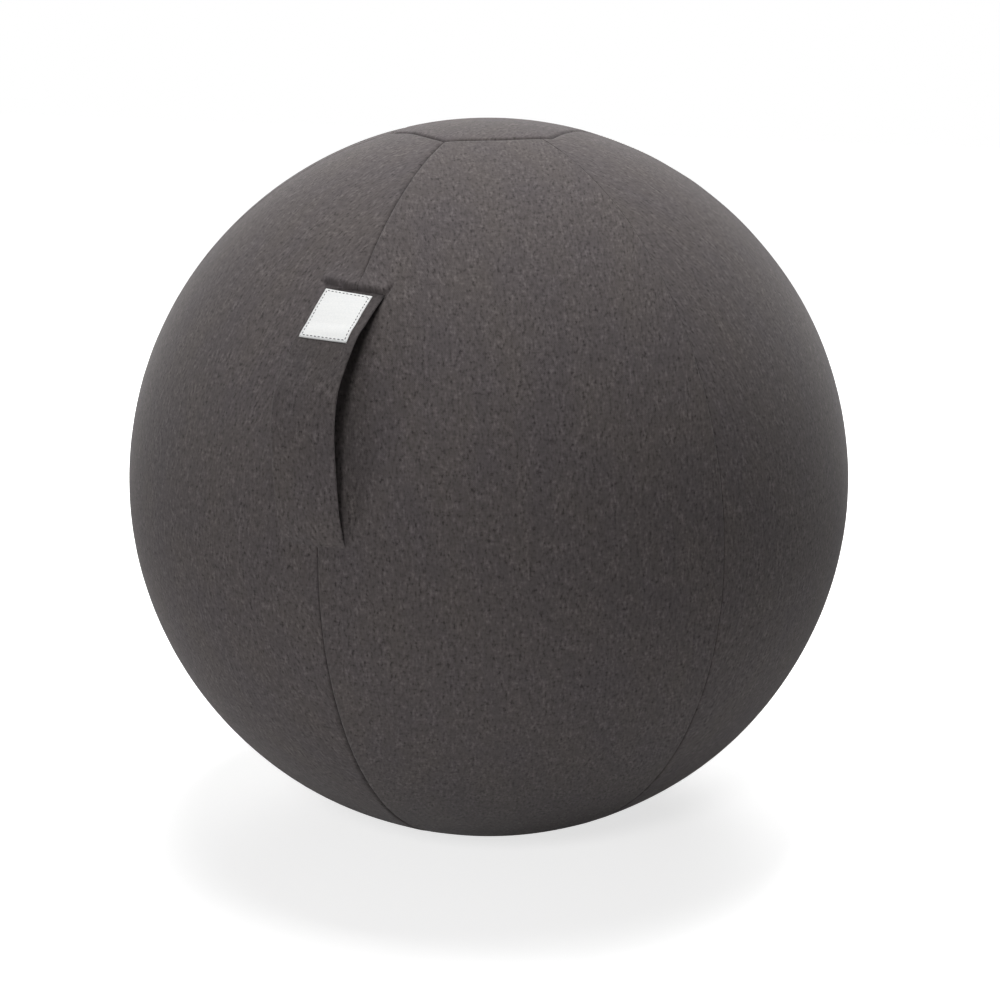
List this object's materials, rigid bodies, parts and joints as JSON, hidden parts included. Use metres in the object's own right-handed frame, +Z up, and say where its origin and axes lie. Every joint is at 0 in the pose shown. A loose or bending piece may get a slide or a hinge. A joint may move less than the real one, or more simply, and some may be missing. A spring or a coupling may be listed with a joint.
{
  "type": "sitting ball",
  "caption": "Inflatable sitting ball in a sewn grey cloth cover of meridian gores and hexagonal end panels, with a sewn carrying strap, a label and a rear zip.",
  "frame": {"origin": "centre of the flat where the base panel rests on the floor, under the centre of the ball", "axes": "+Z up, -Y towards the carrying strap, +Y towards the zip, +X to the right of someone who faces the strap"},
  "size_m": [0.6498, 0.6674, 0.6461],
  "materials": {
    "cover_cloth": "matt woven wool-like cloth with a fine mixed fleck",
    "label_cloth": "white woven satin ribbon",
    "inner_skin": "smooth soft vinyl",
    "valve_plastic": "plain moulded plastic",
    "zip_tape": "dark woven tape",
    "zip_plastic": "dark moulded plastic",
    "zip_metal": "dark lacquered die-cast metal"
  },
  "bodies": {
    "ball": {"gore_front_right": "cover_cloth", "gore_right": "cover_cloth", "gore_rear_right": "cover_cloth", "gore_rear_left": "cover_cloth", "gore_left": "cover_cloth", "gore_front_left": "cover_cloth", "top_panel": "cover_cloth", "base_panel": "cover_cloth", "handle_strap": "cover_cloth", "handle_label": "label_cloth", "inner_ball": "inner_skin", "valve_insert": "valve_plastic", "valve_plug": "valve_plastic", "zip_tape_left": "zip_tape", "zip_tape_right": "zip_tape", "zip_teeth_left": "zip_plastic", "zip_teeth_right": "zip_plastic", "zip_stops": "zip_plastic"},
    "zip_slider": {"zip_slider": "zip_metal"},
    "zip_pull": {"zip_pull_tab": "zip_metal"}
  },
  "joints": [
    {"name": "zip_slider_travel", "type": "hinge", "parent": "ball", "child": "zip_slider", "pos_m": [0, 0, 0.32113], "axis": [-1, 0, 0], "range_deg": [0, 58.8], "deforming": ["zip_teeth_left", "zip_teeth_right"]},
    {"name": "zip_pull_swing", "type": "hinge", "parent": "zip_slider", "child": "zip_pull", "pos_m": [0, 0.32695, 0.32113], "axis": [1, 0, 0], "range_deg": [0, 165]}
  ]
}
